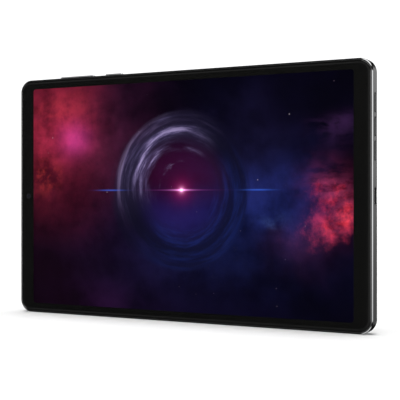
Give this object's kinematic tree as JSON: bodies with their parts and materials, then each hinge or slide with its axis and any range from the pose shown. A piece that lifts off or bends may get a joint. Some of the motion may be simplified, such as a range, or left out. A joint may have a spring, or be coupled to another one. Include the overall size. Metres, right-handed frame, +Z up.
{
  "type": "tablet computer",
  "caption": "Slim tablet computer on its long edge, with an edge-lit display behind cover glass, batteries, boards, stereo speakers, press keys and a pull-out memory card tray.",
  "frame": {"origin": "on the flat of the bottom long edge that the tablet stands on, in the middle of its width and of its body's thickness", "axes": "+X towards the end with the USB port, along the screen's width; +Y out of the back, so the screen faces -Y; +Z up the screen's height to the edge with the keys"},
  "size_m": [0.2088, 0.0089, 0.1307],
  "materials": {
    "body_metal": "satin",
    "key_metal": "satin",
    "band_plastic": "satin",
    "cover_glass": "gloss",
    "display_panel": "gloss",
    "lens_glass": "gloss",
    "black_adhesive": "matte",
    "black_plastic": "satin",
    "grille_cloth": "matte",
    "white_film": "satin",
    "lamp_lens": "gloss",
    "pressed_steel": "satin",
    "frame_metal": "matte",
    "battery_foil": "satin",
    "circuit_board": "satin",
    "flex_film": "satin",
    "graphite": "matte",
    "seal_rubber": "matte",
    "weight_metal": "satin",
    "chip_package": "matte"
  },
  "bodies": {
    "tablet_body": {"housing_centre": "body_metal", "housing_end_left": "body_metal", "housing_end_right": "body_metal", "camera_bump": "body_metal", "antenna_band_left": "band_plastic", "antenna_band_right": "band_plastic", "cover_glass": "cover_glass", "lcd_panel": "display_panel", "rear_camera_glass": "lens_glass", "glass_adhesive": "black_adhesive", "usb_c_tongue": "black_plastic", "antenna_block": "black_plastic", "antenna_cable": "black_plastic", "speaker_box_left": "black_plastic", "speaker_box_right": "black_plastic", "speaker_mesh_left": "grille_cloth", "speaker_mesh_right": "grille_cloth", "prism_film": "white_film", "light_guide": "white_film", "led_strip": "white_film", "reflector_film": "white_film", "flash_lamp": "lamp_lens", "mid_frame_screw_1": "pressed_steel", "mid_frame_screw_2": "pressed_steel", "mid_frame_screw_3": "pressed_steel", "mid_frame_screw_4": "pressed_steel", "processor_shield": "pressed_steel", "power_shield": "pressed_steel", "radio_shield": "pressed_steel", "usb_c_shell": "pressed_steel", "microphone": "pressed_steel", "speaker_driver_left": "pressed_steel", "speaker_driver_right": "pressed_steel", "haptic_case": "pressed_steel", "haptic_spring_left": "pressed_steel", "haptic_spring_right": "pressed_steel", "volume_up_dome": "pressed_steel", "volume_down_dome": "pressed_steel", "power_dome": "pressed_steel", "card_socket": "pressed_steel", "mid_frame": "frame_metal", "backlight_tray": "frame_metal", "battery_cell_left": "battery_foil", "battery_cell_right": "battery_foil", "main_board": "circuit_board", "charging_board": "circuit_board", "battery_board": "circuit_board", "display_flex": "flex_film", "board_link_flex": "flex_film", "side_key_flex": "flex_film", "graphite_sheet": "graphite", "processor_chip": "chip_package", "rear_camera_module": "chip_package", "front_camera_module": "chip_package", "light_sensor": "chip_package"},
    "power_button": {"power_button": "key_metal"},
    "volume_rocker": {"volume_rocker": "key_metal"},
    "card_tray": {"card_tray": "body_metal", "tray_seal": "seal_rubber"},
    "haptic_weight": {"haptic_weight": "weight_metal"}
  },
  "joints": [
    {"name": "power_press", "type": "slide", "parent": "tablet_body", "child": "power_button", "axis": [0, 0, -1], "range_m": [0, 0.00025], "stiffness_N_per_m": 6000, "springref_m": -0.00005, "deforming": ["power_dome"]},
    {"name": "volume_rock", "type": "hinge", "parent": "tablet_body", "child": "volume_rocker", "pos_m": [-0.0667, -0.0006, 0.1264], "axis": [0, 1, 0], "range_deg": [-1.2, 1.2], "stiffness_Nm_per_rad": 0.7, "deforming": ["volume_up_dome", "volume_down_dome"]},
    {"name": "tray_slide", "type": "slide", "parent": "tablet_body", "child": "card_tray", "axis": [-1, 0, 0], "range_m": [0, 0.017]},
    {"name": "haptic_shake", "type": "slide", "parent": "tablet_body", "child": "haptic_weight", "axis": [1, 0, 0], "range_m": [-0.00025, 0.00025], "stiffness_N_per_m": 700, "deforming": ["haptic_spring_left", "haptic_spring_right"]}
  ]
}
